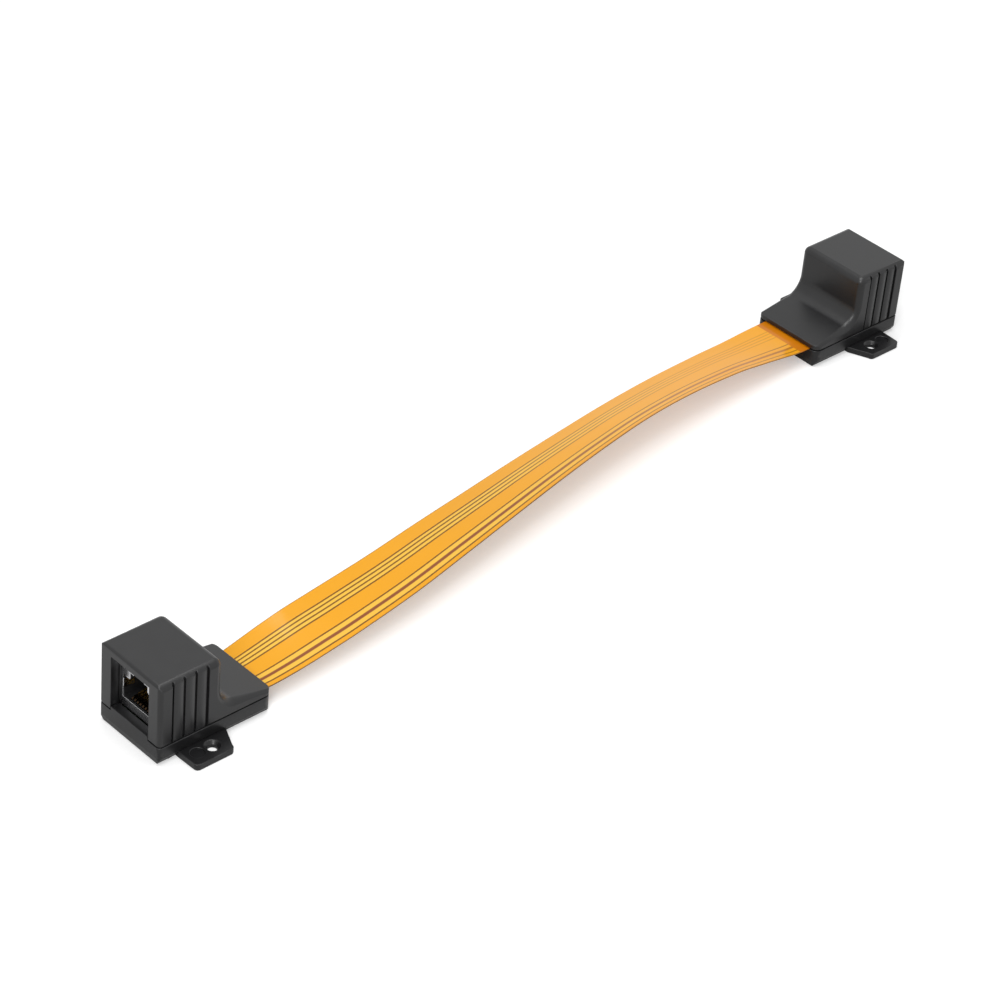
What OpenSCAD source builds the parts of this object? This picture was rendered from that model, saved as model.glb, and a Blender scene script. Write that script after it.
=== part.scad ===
// Flat ethernet pass-through cable: two screw-down socket housings joined by one flat ribbon.
// Each housing is drawn with its front face at x = 0, its tail towards +x and its foot at z = 0.
// The right-hand end is the left-hand end turned half round about the z axis.

/* [Layout] */
// Distance between the front faces of the two housings
overall_l = 292; // [260:1:320]
// Sideways step between the two housings
side_step = 26; // [0:1:40]

/* [Housing] */
// Length of the tail behind the box that holds the socket
tail_l = 15.8; // [14.5:0.1:20]
// Height of the tail's end above the seam between cover and base
tail_rim = 1.8; // [1.4:0.1:2.4]
// Thickness of the side, top and rear walls
wall = 1.8; // [1.2:0.1:2]
// Room between the socket and the side walls
side_room = 3.2; // [2.8:0.1:4]
// Room between the socket and the top wall
head_room = 2.1; // [1.6:0.1:4]
// Room between the socket and the rear wall
rear_room = 1.6; // [0.6:0.1:2]
// Radius of the cover's long outer edges, and of the box's rear edges
edge_r = 2; // [1:0.1:2.2]
// How far the rounding of the tail's edges has moved off the tail at its end
edge_fade = 0.25; // [0:0.05:0.3]
// Radius of the vertical corners at the front
front_corner_r = 1.2; // [0.4:0.1:1.2]
// Radius of the vertical corners at the tail
tail_corner_r = 2.2; // [1:0.1:2.6]
// Radius of the box's top edge at the front
brow_r = 1; // [0.3:0.1:1.2]
// Height of the shadow line between cover and base
seam_line_h = 0.45; // [0.1:0.05:0.5]
// Depth of the shadow line
seam_line_d = 0.35; // [0.1:0.05:0.5]

/* [Swoop] */
// Radius of the hollow between box and tail
swoop_r = 5.2; // [3:0.1:7]
// Slope of the tail's top, in degrees
tail_slope = 10.5; // [6:0.5:14]

/* [Grip ribs] */
// Number of grooves on each side
groove_count = 4; // [2:1:4]
// Width of a groove
groove_w = 0.7; // [0.5:0.05:1]
// Distance between grooves
groove_pitch = 3.48; // [3:0.02:3.5]
// Distance from the front face to the middle of the first groove
groove_first = 4.1; // [3.5:0.1:4.6]
// Depth of a groove
groove_depth = 0.8; // [0.4:0.1:0.9]
// Height of the rounded ribs between the grooves
rib_crown = 0.3; // [0.1:0.05:0.5]

/* [Front opening] */
// Room beside the socket in the opening
opening_side = 0.6; // [0.3:0.1:1]
// Room above the socket in the opening
opening_above = 1.5; // [0.8:0.1:1.8]
// Gap between the front wall's back and the socket's face
face_gap = 0.2; // [0.1:0.05:0.4]
// Gap between the base's sill and the socket's lower edge
sill_gap = 0.1; // [0.05:0.05:0.3]

/* [Base] */
// Thickness of the ears, and height of the base's slanting lower edge
foot_h = 1.8; // [1.4:0.1:2]
// How far the base's lower edge slants in at the sides
foot_step = 1.2; // [0.3:0.1:1.2]
// How far it slants in at the front and the rear
foot_front = 0.4; // [0.2:0.1:1.2]
// Thickness of the base's floor above the slanting edge
floor_t = 0.8; // [0.8:0.1:1.2]
// Depth of the base's tray, from its floor to the seam
tray_depth = 2.6; // [2.2:0.1:3]
// Height of the locating lip inside the cover
lip_h = 1; // [0.5:0.1:1.4]
// Thickness of the locating lip
lip_t = 0.8; // [0.5:0.1:1]

/* [Ears] */
// Reach of an ear from the side of the base
ear_reach = 6.9; // [6.3:0.1:9]
// Distance from the front face to the ear's front edge at the side
ear_front = 5.9; // [3:0.1:6.5]
// Length of an ear along the side of the base
ear_root_l = 14.6; // [13:0.1:18]
// How far the front edge of an ear leans back
ear_front_lean = 0.2; // [0:0.1:1]
// How far the rear edge of an ear leans forward
ear_rear_lean = 2.6; // [0:0.1:3]
// Radius of the outer corners of an ear
ear_corner_r = 1.2; // [0.5:0.1:2]
// Diameter of the screw hole in an ear
ear_hole_d = 2.5; // [2.3:0.1:3]
// Diameter of the countersink at the top of the hole
ear_sink_d = 4.3; // [4:0.1:4.6]
// Distance from the front face to the screw hole
ear_hole_x = 13.9; // [12.5:0.1:15]
// Distance from the side of the base to the screw hole
ear_hole_out = 3; // [2.8:0.1:3.9]
// Diameter of the shallow knock-out mark beside the hole
mark_d = 3.8; // [3:0.1:4]
// Depth of the knock-out mark
mark_depth = 0.4; // [0.2:0.1:0.8]
// Gap between the mark and the countersink
mark_gap = 0.5; // [0.2:0.1:0.6]

/* [Socket] */
// Width over the socket's shield
socket_w = 13.4; // [13.2:0.1:13.5]
// Height of the socket above its board
socket_h = 13.4; // [12.8:0.1:14]
// Depth of the socket
socket_l = 12.8; // [12.6:0.1:12.9]
// Setback of the socket's face behind the cover's front
socket_x = 2.8; // [2.7:0.05:3]
// Thickness of the shield's sheet metal
shield_t = 0.3; // [0.2:0.05:0.4]
// Width of the plug's space
port_w = 11.8; // [11.6:0.1:12]
// Height of the plug's space
port_h = 6.7; // [6.5:0.1:6.9]
// Height of the socket's lip under the plug
port_lip = 2.7; // [2.5:0.1:3]
// Thickness of the wall behind the plug's space
port_back = 0.6; // [0.4:0.1:1.2]
// Width of the latch's space above the plug
latch_w = 6.4; // [6:0.1:6.8]
// Height of the latch's space
latch_h = 1.7; // [1.4:0.1:2]
// Width of the latch's upper slot
latch_slot_w = 3.6; // [3:0.1:4.2]
// Height of the latch's upper slot
latch_slot_h = 0.9; // [0.6:0.1:1]

/* [Contacts] */
// Number of contacts
contact_count = 8; // [4:2:8]
// Distance between contacts
contact_pitch = 1.02; // [0.95:0.01:1.05]
// Thickness of a contact's square wire
contact_d = 0.45; // [0.35:0.05:0.5]
// Slope of the contacts' sprung arms, in degrees
contact_slope = 13; // [8:1:14]
// Diameter of a pin below the contact insert
pin_d = 0.6; // [0.4:0.05:0.7]

/* [Circuit board] */
// Thickness of the board
board_t = 1.2; // [0.8:0.1:1.2]
// How much narrower the board is than the socket, at each side
board_inset = 0.1; // [0.05:0.05:0.3]
// Setback of the board's front edge behind the socket's face
board_setback = 0.6; // [0.4:0.1:1]
// Length of the board behind the socket
board_behind = 7.8; // [6:0.1:8]
// Clearance around the pins in the board
pin_gap = 0.15; // [0.1:0.05:0.2]

/* [Ribbon] */
// Room between the ribbon's edges and the side walls
ribbon_room = 1.15; // [0.9:0.05:1.6]
// Thickness of the ribbon
ribbon_t = 0.3; // [0.2:0.05:0.4]
// Length of the ribbon's soldered end under the board
ribbon_lap = 4.9; // [3:0.1:5.5]
// Thickness of the stiffener under each end of the ribbon
stiffener_t = 0.3; // [0.2:0.05:0.6]
// Room at each side of the ribbon in its exit
exit_side_gap = 0.4; // [0.3:0.05:0.6]
// Room above the ribbon in its exit
exit_top_gap = 0.25; // [0.15:0.05:0.4]

/* [Cover screws] */
// Diameter of a screw's shank
screw_d = 1.8; // [1.4:0.1:1.8]
// Diameter of a screw's head
screw_head_d = 3.2; // [2.8:0.1:3.2]
// Height of a screw's head
screw_head_h = 1; // [0.8:0.1:1.2]
// Length of a screw under its head
screw_l = 9; // [7:0.5:12]
// Radius of the post that takes a screw
post_r = 1.4; // [1.3:0.05:1.45]

/* [Clearances] */
// Clearance between parts that slide together
fit = 0.1; // [0.05:0.05:0.15]
// Room around a screw's shank and head
screw_gap = 0.2; // [0.1:0.05:0.2]

/* [Hidden] */
$fn = 64;
eps = 0.01;
over = 1;

// Heights inside a housing, from the mounting surface up.
floor_z = foot_h + floor_t;
// The slanting edge ends a little above the ears, so that its end stays clear of their top faces.
foot_rise = foot_h + 0.2;
seam_z = floor_z + tray_depth;
tail_h = seam_z + tail_rim;
board_z = seam_z + fit;
socket_z = board_z + board_t;
socket_top = socket_z + socket_h;
port_z = socket_z + port_lip;
sill_z = socket_z - sill_gap;

// The housing is drawn round the socket.
front_wall = socket_x - face_gap;
inner_half = socket_w / 2 + side_room;
housing_w = 2 * (inner_half + wall);
housing_h = socket_top + head_room + wall;
box_l = socket_x + socket_l + rear_room + wall;
housing_l = box_l + tail_l;
opening_w = socket_w + 2 * opening_side;
opening_top = socket_top + opening_above;

// The hollow between box and tail is an arc that touches the rear wall and the tail's top.
tail_rise = tan(tail_slope);
swoop_x = box_l + swoop_r;
swoop_z = tail_h + (housing_l - swoop_x) * tail_rise + swoop_r / cos(tail_slope);

// Place of the board under the socket.
board_w = socket_w - 2 * board_inset;
board_x = socket_x + board_setback;
board_end = socket_x + socket_l + board_behind;
board_l = board_end - board_x;

// The ribbon runs straight out from under the board, through a slot at the seam in the tail's end.
ribbon_w = 2 * (inner_half - ribbon_room);
ribbon_exit_z = board_z - ribbon_t;
exit_half = ribbon_w / 2 + exit_side_gap;
exit_top = ribbon_exit_z + ribbon_t + exit_top_gap;
ribbon_start = board_end - ribbon_lap;
stiffener_z = board_z - ribbon_t - stiffener_t;

// The cover's screw posts stand in its front corners, partly in the side walls.
post_sunk = 0.2;
post_x = front_wall + post_r + fit;
post_y = inner_half - post_r + post_sunk;

// The contact insert closes the back of the socket.
insert_l = 1.4;
insert_h = 4.4;
insert_x = socket_x + socket_l - shield_t - insert_l - fit;
port_depth = insert_x - fit - port_back - socket_x;
insert_half = contact_count * contact_pitch / 2 + 0.6;
wire_low_z = socket_z + 1.9;
wire_bend_r = 0.55;
wire_front_x = socket_x + 1.6;
wire_l = 6;

// Fingers of the shield, which press on the plug's own shield.
finger_l = 3;
finger_w = 2.4;
finger_in = 0.5;
finger_z = port_z + 2.8;

// Ends of the ribbon's middle line inside a housing, from under the board to the exit.
ribbon_in = [
    [ribbon_start, ribbon_exit_z + ribbon_t / 2], [board_end, ribbon_exit_z + ribbon_t / 2],
    [housing_l, ribbon_exit_z + ribbon_t / 2]
];

// Free route of the ribbon's middle line from exit to exit. The first two numbers are shares of the
// half distance between the exits and of half the sideways step; then rise above the exit and roll.
free_half = overall_l / 2 - housing_l;
route = [
    [-1, -1, 0, 0], [-0.97, -1, 0.4, 3], [-0.93, -1, 1.1, 6], [-0.88, -0.99, 1.9, 9],
    [-0.81, -0.96, 2.8, 11], [-0.72, -0.91, 3.6, 10.5], [-0.54, -0.74, 4.6, 6.5], [-0.36, -0.49, 5.3, 1],
    [-0.18, -0.22, 5.6, -5], [0, 0.06, 5.7, -10], [0.18, 0.33, 5.5, -14], [0.36, 0.58, 5, -16],
    [0.54, 0.78, 3.9, -15], [0.72, 0.92, 2.3, -12], [0.83, 0.97, 1.1, -8], [0.9, 0.99, 0.5, -4],
    [0.95, 1, 0.1, -1], [1, 1, 0, 0]
];
ribbon_steps = 4;

// Colours of the pieces.
shell_colour = [0.16, 0.16, 0.17];
metal_colour = [0.78, 0.78, 0.8];
black_colour = [0.06, 0.06, 0.06];
gold_colour = [0.85, 0.65, 0.25];
board_colour = [0.09, 0.1, 0.09];
film_colour = [0.93, 0.55, 0.1];

// Puts a housing's piece at the left-hand end.
module at_left() {
    translate([-overall_l / 2, -side_step / 2, 0]) children();
}

// Puts a housing's piece at the right-hand end.
module at_right() {
    rotate([0, 0, 180]) at_left() children();
}

// Makes the same shape on both sides of the housing.
module both_sides() {
    children();
    mirror([0, 1, 0]) children();
}

// Extrudes a drawing in x and z across the housing's width.
module across(width) {
    translate([0, width / 2, 0]) rotate([90, 0, 0]) linear_extrude(width) children();
}

// Plan of the housing, drawn smaller by inset all round.
module plan(inset = 0) {
    half = housing_w / 2 - inset;
    front_r = max(front_corner_r - inset, 0.2);
    tail_r = max(tail_corner_r - inset, 0.2);
    tail_x = housing_l - inset;
    translate([inset + front_r, -half]) square([tail_x - inset - front_r - tail_r, 2 * half]);
    translate([inset, front_r - half]) square([front_r, 2 * (half - front_r)]);
    translate([tail_x - tail_r, tail_r - half]) square([tail_r, 2 * (half - tail_r)]);
    for (side = [-1, 1]) {
        translate([inset + front_r, side * (half - front_r)]) circle(front_r);
        translate([tail_x - tail_r, side * (half - tail_r)]) circle(tail_r);
    }
}

// Side view of the cover: box, hollow and tail, drawn smaller by inset from the given foot up.
module side_view(inset, front, foot) {
    arc_r = swoop_r + inset;
    touch_x = swoop_x - arc_r * sin(tail_slope);
    touch_z = swoop_z - arc_r * cos(tail_slope);
    end_x = housing_l - inset;
    end_z = touch_z - (end_x - touch_x) * tail_rise;
    difference() {
        polygon([
            [front, foot], [front, housing_h - inset], [box_l - inset, housing_h - inset],
            [box_l - inset, swoop_z], [swoop_x, swoop_z], [touch_x, touch_z],
            [end_x, max(end_z, foot)], [end_x, foot]
        ]);
        translate([swoop_x, swoop_z]) circle(arc_r, $fn = 128);
    }
}

// What a rounding takes off a square corner at the origin, between -x and -y.
module corner_waste(radius, spare = eps) {
    difference() {
        translate([-radius, -radius]) square(radius + over);
        translate([-radius, -radius]) circle(radius + spare);
    }
}

// Rounds one side's long edge: along the top, down the rear corner, round the hollow, along the tail.
module edge_waste() {
    half = housing_w / 2;
    lap = 0.5;
    slope_l = housing_l - swoop_x + swoop_r * sin(tail_slope);
    fade = asin(edge_fade / slope_l);
    translate([-over, half, housing_h]) rotate([90, 0, 90]) linear_extrude(box_l + 2 * over) {
        corner_waste(edge_r);
    }
    translate([box_l, half, swoop_z]) linear_extrude(housing_h - swoop_z + over) corner_waste(edge_r);
    translate([swoop_x, 0, swoop_z]) rotate([-90, 0, 0]) rotate([0, 0, 90 + tail_slope - lap]) {
        rotate_extrude(angle = 90 - tail_slope + 2 * lap, $fn = 128) {
            translate([swoop_r, half]) mirror([1, 0]) corner_waste(edge_r, 2 * eps);
        }
    }
    translate([swoop_x - swoop_r * sin(tail_slope), half, swoop_z - swoop_r * cos(tail_slope)]) {
        rotate([0, tail_slope, 0]) rotate([0, -fade, fade]) rotate([90, 0, 90]) {
            linear_extrude(slope_l + over) corner_waste(edge_r);
        }
    }
    translate([box_l - edge_r, half - edge_r, housing_h - edge_r]) difference() {
        cube(edge_r + over);
        sphere(edge_r + 2 * eps);
    }
}

// Rounds the box's top edges at front and rear.
module brow_waste() {
    translate([box_l, 0, housing_h]) across(housing_w + 2 * over) corner_waste(edge_r);
    translate([0, 0, housing_h]) mirror([1, 0, 0]) across(housing_w + 2 * over) corner_waste(brow_r);
}

// What a rounded rib of the given width takes off a flat side.
module rib_waste(width) {
    radius = (width * width / 4 + rib_crown * rib_crown) / (2 * rib_crown);
    difference() {
        translate([-width / 2, -rib_crown]) square([width, rib_crown + over]);
        translate([0, -radius - 3 * eps]) circle(radius);
    }
}

// The grooves and ribs of one side run out through the rounded top edge.
module grip_waste() {
    rib_w = groove_pitch - groove_w + 2 * eps;
    translate([groove_first, housing_w / 2, seam_z - over]) linear_extrude(housing_h - seam_z + 2 * over) {
        for (i = [0 : groove_count - 1]) {
            translate([i * groove_pitch - groove_w / 2, -groove_depth]) square([groove_w, groove_depth + over]);
        }
        for (i = [1 : groove_count - 1]) translate([(i - 0.5) * groove_pitch, 0]) rib_waste(rib_w);
    }
}

// Shadow line round the foot of the cover.
module seam_line() {
    translate([0, 0, seam_z - over]) linear_extrude(over + seam_line_h) difference() {
        translate([-over, -housing_w]) square([housing_l + 2 * over, 2 * housing_w]);
        plan(seam_line_d);
    }
}

// What the slanting lower edge takes off, seen along the edge, with the corner at the origin.
module foot_waste_shape(step) {
    share = step / foot_rise;
    polygon([
        [-step - share * over, -over], [2 * over, -over], [2 * over, foot_rise + over],
        [share * over, foot_rise + over]
    ]);
}

// Slanting lower edge round the base.
module foot_waste() {
    both_sides() translate([-over, housing_w / 2, 0]) rotate([90, 0, 90]) {
        linear_extrude(housing_l + 2 * over) foot_waste_shape(foot_step);
    }
    mirror([1, 0, 0]) across(housing_w + 2 * over) foot_waste_shape(foot_front);
    translate([housing_l, 0, 0]) across(housing_w + 2 * over) foot_waste_shape(foot_front);
}

// Post in a front corner of the cover, with the screw's pilot hole.
module post() {
    translate([post_x, post_y, seam_z]) cylinder(r = post_r, h = housing_h - wall - seam_z + eps);
}

module pilot_hole() {
    translate([post_x, post_y, seam_z - over]) cylinder(d = screw_d + fit, h = screw_l + over);
}

// Ribs under the cover's top that hold the socket down.
module socket_ribs() {
    rib_t = 1;
    for (x = [socket_x + 2, socket_x + socket_l - 4]) {
        translate([x, -socket_w / 2, socket_top + fit]) {
            cube([rib_t, socket_w, housing_h - wall - socket_top - fit + eps]);
        }
    }
}

// Slot through the tail's end for the ribbon.
module exit_slot() {
    translate([housing_l - wall - over, -exit_half, ribbon_exit_z]) {
        cube([wall + 2 * over, 2 * exit_half, exit_top - ribbon_exit_z]);
    }
}

// Cover: the ribbed, swooping upper shell.
module cover() {
    color(shell_colour) {
        difference() {
            union() {
                difference() {
                    intersection() {
                        across(housing_w) side_view(0, 0, seam_z);
                        translate([0, 0, seam_z - over]) linear_extrude(housing_h) plan();
                    }
                    both_sides() edge_waste();
                    brow_waste();
                    across(2 * inner_half) side_view(wall, front_wall, seam_z - over);
                }
                both_sides() post();
                socket_ribs();
            }
            both_sides() grip_waste();
            seam_line();
            exit_slot();
            both_sides() pilot_hole();
            translate([-over, -opening_w / 2, seam_z - over]) {
                cube([front_wall + over + eps, opening_w, opening_top - seam_z + over]);
            }
        }
    }
}

// Outline of one ear, from inside the base to its rounded outer corners.
module ear_outline() {
    root = housing_w / 2 - foot_step - 2;
    out = housing_w / 2 + ear_reach;
    r = ear_corner_r;
    front_x = ear_front + ear_front_lean;
    rear_x = ear_front + ear_root_l - ear_rear_lean;
    polygon([
        [ear_front, root], [ear_front, housing_w / 2], [front_x, out - r], [front_x + r, out],
        [rear_x - r, out], [rear_x, out - r], [ear_front + ear_root_l, housing_w / 2],
        [ear_front + ear_root_l, root]
    ]);
    translate([front_x + r, out - r]) circle(r);
    translate([rear_x - r, out - r]) circle(r);
}

// Screw hole of an ear with its countersink, and the shallow mark in front of it.
module ear_cuts() {
    sink = (ear_sink_d - ear_hole_d) / 2;
    translate([ear_hole_x, housing_w / 2 + ear_hole_out, 0]) {
        translate([0, 0, -over]) cylinder(d = ear_hole_d, h = foot_h + 2 * over);
        translate([0, 0, foot_h - sink]) cylinder(d1 = ear_hole_d, d2 = ear_sink_d + 2 * eps, h = sink + eps);
        translate([-(ear_sink_d + mark_d) / 2 - mark_gap, 0, foot_h - mark_depth]) {
            cylinder(d = mark_d, h = mark_depth + over);
        }
    }
}

// Hole and head seat for a cover screw in the base.
module screw_seat() {
    translate([post_x, post_y, -over]) {
        cylinder(d = screw_d + screw_gap, h = seam_z + 2 * over);
        cylinder(d = screw_head_d + screw_gap, h = screw_head_h + screw_gap + over);
    }
}

// Rails and block on the base's floor that carry the board and the ribbon's stiffener.
module board_rests() {
    rail_w = 1.2;
    rail_l = ribbon_start - board_x - 3;
    for (side = [-1, 1]) {
        translate([board_x + 1, side * (board_w / 2 - rail_w) - rail_w / 2, floor_z - eps]) {
            cube([rail_l, rail_w, board_z - floor_z + eps]);
        }
    }
    translate([ribbon_start + 0.5, -ribbon_w / 2 + 1, floor_z - eps]) {
        cube([board_end - ribbon_start - 1, ribbon_w - 2, stiffener_z - floor_z + eps]);
    }
}

// Locating lip that stands up inside the cover's side walls.
module locating_lip() {
    lip_x = post_x + post_r + 2 * fit;
    translate([lip_x, inner_half - fit - lip_t, floor_z]) {
        cube([box_l - wall - fit - lip_x, lip_t, seam_z + lip_h - floor_z]);
    }
    translate([lip_x, inner_half - fit - lip_t, floor_z]) {
        cube([box_l - wall - fit - lip_x, lip_t + fit + eps, seam_z - floor_z]);
    }
}

// Base: the lower tray with its sill, foot and ears.
module base() {
    color(shell_colour) {
        difference() {
            union() {
                difference() {
                    linear_extrude(seam_z) plan();
                    foot_waste();
                    translate([front_wall, -inner_half, floor_z]) {
                        cube([housing_l - front_wall - wall, 2 * inner_half, seam_z]);
                    }
                }
                both_sides() linear_extrude(foot_h) ear_outline();
                translate([0, fit - opening_w / 2, seam_z - over]) {
                    cube([front_wall, opening_w - 2 * fit, sill_z - seam_z + over]);
                }
                board_rests();
                both_sides() locating_lip();
                both_sides() translate([post_x, post_y, floor_z - eps]) {
                    cylinder(r = post_r, h = seam_z - floor_z + eps);
                }
            }
            both_sides() ear_cuts();
            both_sides() screw_seat();
            exit_slot();
        }
    }
}

// Two screws that hold the cover to the base, heads down.
module screws() {
    color(metal_colour) both_sides() translate([post_x, post_y, screw_gap]) {
        cylinder(d = screw_head_d, h = screw_head_h);
        cylinder(d = screw_d, h = screw_head_h + screw_l - screw_gap);
    }
}

// Front view of the plug's space with the steps for its latch, in y and z.
module port_shape(gap = 0) {
    translate([-port_w / 2 - gap, port_z - gap]) square([port_w + 2 * gap, port_h + 2 * gap]);
    translate([-latch_w / 2 - gap, port_z]) square([latch_w + 2 * gap, port_h + latch_h + gap]);
    translate([-latch_slot_w / 2 - gap, port_z]) {
        square([latch_slot_w + 2 * gap, port_h + latch_h + latch_slot_h + gap]);
    }
}

// Extrudes a drawing in y and z backwards from the given place.
module backwards(from, length) {
    translate([from, 0, 0]) rotate([90, 0, 90]) linear_extrude(length) children();
}

// One spring finger at the side of the port, bent in from the shield's face.
module side_finger() {
    translate([socket_x, port_w / 2, finger_z]) linear_extrude(finger_w) polygon([
        [0, -shield_t / 2], [finger_l, -finger_in], [finger_l, shield_t - finger_in], [shield_t, shield_t]
    ]);
}

// One spring finger at the top of the port, beside the latch's space.
module top_finger() {
    translate([socket_x, (latch_w + port_w) / 4 + finger_w / 2 - 0.2, port_z + port_h]) {
        rotate([90, 0, 0]) linear_extrude(finger_w - 0.4) polygon([
            [0, -shield_t / 2], [finger_l, -finger_in], [finger_l, shield_t - finger_in], [shield_t, shield_t]
        ]);
    }
}

// Shield: folded sheet metal over the socket's face, sides, top and back, with two solder tabs.
module shield() {
    tab_x = socket_x + 5;
    tab_l = 2;
    color(metal_colour) {
        difference() {
            backwards(socket_x, socket_l) translate([-socket_w / 2, socket_z]) square([socket_w, socket_h]);
            backwards(socket_x + shield_t, socket_l - 2 * shield_t) {
                translate([shield_t - socket_w / 2, socket_z - over]) {
                    square([socket_w - 2 * shield_t, socket_h - shield_t + over]);
                }
            }
            backwards(socket_x - over, shield_t + 2 * over) port_shape(fit);
        }
        both_sides() side_finger();
        both_sides() top_finger();
        both_sides() translate([tab_x, socket_w / 2 - shield_t, board_z - 0.4]) {
            cube([tab_l, shield_t, socket_z - board_z + 0.4 + eps]);
        }
    }
}

// Room in the insulator for the fingers behind the shield's face.
module finger_room() {
    room = 0.15;
    translate([socket_x, port_w / 2 - over, finger_z - room]) {
        cube([finger_l + room, over + shield_t + room, finger_w + 2 * room]);
    }
    translate([socket_x, (latch_w + port_w) / 4 - finger_w / 2 + 0.2 - room, port_z + port_h - over]) {
        cube([finger_l + room, finger_w - 0.4 + 2 * room, over + shield_t + room]);
    }
}

// Insulator: the socket's black body with the plug's space, the contacts' grooves and the insert's pocket.
module insulator() {
    front = socket_x + shield_t + fit / 2;
    half = socket_w / 2 - shield_t - fit / 2;
    length = socket_l - 2 * shield_t - fit;
    groove_w = contact_d + 0.2;
    color(black_colour) difference() {
        translate([front, -half, socket_z]) cube([length, 2 * half, socket_h - shield_t - fit / 2]);
        backwards(socket_x, port_depth) port_shape();
        both_sides() finger_room();
        for (i = [0 : contact_count - 1]) {
            translate([wire_front_x - 1, contact_y(i) - groove_w / 2, wire_low_z - groove_w / 2]) {
                cube([insert_x - wire_front_x + 1 + fit, groove_w, port_z - wire_low_z + groove_w]);
            }
        }
        translate([insert_x - fit, -insert_half - fit, socket_z - over]) {
            cube([insert_l + over + 2 * fit, 2 * (insert_half + fit), insert_h + over + fit]);
        }
    }
}

// Sideways place of a contact.
function contact_y(i) = (i - (contact_count - 1) / 2) * contact_pitch;

// Place of a pin: two staggered rows.
function pin_x(i) = insert_x + insert_l * (i % 2 == 0 ? 0.25 : 0.75);

// Contact insert: the block at the back of the socket that holds the contacts.
module contact_insert() {
    color(black_colour) translate([insert_x, -insert_half, socket_z]) {
        cube([insert_l, 2 * insert_half, insert_h]);
    }
}

// Side view of a contact: a run along the socket's floor, a bend at the front and a sprung arm.
function bend_point(angle, r) = [wire_front_x + r * cos(angle), wire_low_z + wire_bend_r + r * sin(angle)];

module contact_side() {
    outer = wire_bend_r + contact_d / 2;
    inner = wire_bend_r - contact_d / 2;
    top = 90 + contact_slope;
    arm = wire_l * [cos(contact_slope), sin(contact_slope)];
    turn = [for (k = [0 : 12]) 270 - k * (270 - top) / 12];
    polygon(concat(
        [[insert_x, wire_low_z - contact_d / 2]],
        [for (angle = turn) bend_point(angle, outer)],
        [bend_point(top, outer) + arm, bend_point(top, inner) + arm],
        [for (k = [0 : 12]) bend_point(turn[12 - k], inner)],
        [[insert_x, wire_low_z + contact_d / 2]]
    ));
}

module contact_wire() {
    across(contact_d) contact_side();
}

// Contacts: eight sprung wires in the port and eight pins under the insert.
module contacts() {
    color(gold_colour) for (i = [0 : contact_count - 1]) {
        translate([0, contact_y(i), 0]) contact_wire();
        translate([pin_x(i), contact_y(i), board_z - 0.4]) cylinder(d = pin_d, h = socket_z - board_z + 0.4);
    }
}

// Circuit board with holes for the pins and notches for the shield's tabs.
module board() {
    tab_x = socket_x + 5;
    tab_l = 2;
    notch = shield_t + fit;
    color(board_colour) difference() {
        translate([board_x, -board_w / 2, board_z]) cube([board_l, board_w, board_t]);
        for (i = [0 : contact_count - 1]) {
            translate([pin_x(i), contact_y(i), board_z - over]) {
                cylinder(d = pin_d + 2 * pin_gap, h = board_t + 2 * over);
            }
        }
        both_sides() translate([tab_x - fit, socket_w / 2 - notch, board_z - over]) {
            cube([tab_l + 2 * fit, over + notch, board_t + 2 * over]);
        }
    }
}

// Stiffener under the soldered end of the ribbon.
module stiffener() {
    color(film_colour) translate([ribbon_start, -ribbon_w / 2, stiffener_z]) {
        cube([board_end - ribbon_start, ribbon_w, stiffener_t]);
    }
}

// Point of a smooth curve through the route, a share t of the way from point i to point i + 1.
function route_at(i) = let (p = route[min(max(i, 0), len(route) - 1)]) [
    p[0] * free_half, p[1] * side_step / 2, p[2] + ribbon_exit_z + ribbon_t / 2, p[3]
];
function smooth(a, b, c, d, t) = 0.5 * (
    2 * b + (c - a) * t + (2 * a - 5 * b + 4 * c - d) * t * t + (3 * b - a - 3 * c + d) * t * t * t
);
function ribbon_at(i, t) = smooth(route_at(i - 1), route_at(i), route_at(i + 1), route_at(i + 2), t);

// Places of the ribbon's rings: straight inside each housing, smooth between the exits.
ribbon_line = concat(
    [for (k = [0 : 1]) [ribbon_in[k][0] - overall_l / 2, -side_step / 2, ribbon_in[k][1], 0]],
    [for (i = [0 : len(route) - 2], k = [0 : ribbon_steps - 1]) ribbon_at(i, k / ribbon_steps)],
    [for (k = [2 : -1 : 0]) [overall_l / 2 - ribbon_in[k][0], side_step / 2, ribbon_in[k][1], 0]]
);

function unit(v) = v / norm(v);
function place(p) = [p[0], p[1], p[2]];

// Direction of the ribbon at ring i.
function heading(i) = unit(
    place(ribbon_line[min(i + 1, len(ribbon_line) - 1)]) - place(ribbon_line[max(i - 1, 0)])
);

// The four corners of the ribbon's section at ring i, turned by the ring's roll.
function ribbon_ring(i) = let (
    ahead = heading(i),
    side = unit(cross([0, 0, 1], ahead)),
    up = cross(ahead, side),
    roll = ribbon_line[i][3],
    wide = (side * cos(roll) + up * sin(roll)) * ribbon_w / 2,
    thick = (up * cos(roll) - side * sin(roll)) * ribbon_t / 2,
    middle = place(ribbon_line[i])
) [middle - wide - thick, middle + wide - thick, middle + wide + thick, middle - wide + thick];

// Ribbon: one flat strip swept along its route.
module ribbon() {
    rings = len(ribbon_line);
    points = [for (i = [0 : rings - 1]) each ribbon_ring(i)];
    sides = [
        for (i = [0 : rings - 2], k = [0 : 3])
            let (a = 4 * i + k, b = 4 * i + (k + 1) % 4)
                each k < 2 ? [[a, b, b + 4], [a, b + 4, a + 4]] : [[a, b, a + 4], [b, b + 4, a + 4]]
    ];
    last = 4 * (rings - 1);
    ends = [[3, 2, 1, 0], [last, last + 1, last + 2, last + 3]];
    color(film_colour) polyhedron(points, concat(sides, ends));
}

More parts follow.
